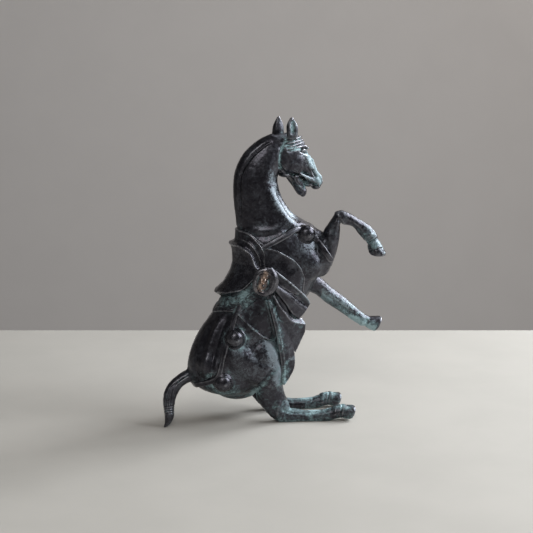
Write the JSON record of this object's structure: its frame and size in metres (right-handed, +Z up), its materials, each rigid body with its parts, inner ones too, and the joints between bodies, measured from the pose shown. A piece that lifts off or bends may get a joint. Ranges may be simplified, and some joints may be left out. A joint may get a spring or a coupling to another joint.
{
  "type": "bronze horse statue",
  "caption": "Dark patinated cast-bronze statue of a rearing horse with a draped saddle, sitting on its hind legs and tail with one foreleg raised and the other held forward.",
  "frame": {"origin": "On the surface it stands on, under the middle of its bounding box.", "axes": "+Z up, the horse faces +X, its right side is towards -Y."},
  "size_m": [0.2373, 0.0844, 0.304],
  "materials": {
    "body_bronze": "dark brown-black bronze patina with green in the hollows",
    "head_bronze": "dark brown-black bronze patina with green in the hollows",
    "leg_bronze": "dark brown-black bronze patina with green in the hollows",
    "saddle_bronze": "dark brown-black bronze patina with green in the hollows",
    "cloth_bronze": "dark brown-black bronze patina with green in the hollows",
    "rubbed_bronze": "dark brown-black bronze patina with green in the hollows",
    "strap_bronze": "dark brown-black bronze patina with green in the hollows",
    "boss_bronze": "dark brown-black bronze patina with green in the hollows",
    "fixing_bronze": "plain turned bronze"
  },
  "bodies": {
    "root": {"hindquarters": "body_bronze", "forebody": "body_bronze", "neck": "body_bronze", "head": "head_bronze", "lower_jaw": "head_bronze", "ear_right": "head_bronze", "ear_left": "head_bronze", "foreleg_right": "leg_bronze", "foreleg_left": "leg_bronze", "hind_leg_right": "leg_bronze", "hind_leg_left": "leg_bronze", "tail": "body_bronze", "saddle": "saddle_bronze", "saddle_pad": "cloth_bronze", "flap_right": "cloth_bronze", "flap_left": "cloth_bronze", "drape_right": "cloth_bronze", "drape_left": "cloth_bronze", "knot_right": "rubbed_bronze", "knot_left": "rubbed_bronze", "breast_straps": "strap_bronze", "crupper_straps": "strap_bronze", "chest_boss_right": "boss_bronze", "chest_boss_left": "boss_bronze", "rump_bosses_right": "boss_bronze", "rump_bosses_left": "boss_bronze", "waist_sleeve": "fixing_bronze", "neck_sleeve": "fixing_bronze", "waist_pins": "fixing_bronze", "neck_pins": "fixing_bronze", "limb_dowels": "fixing_bronze"}
  },
  "joints": []
}
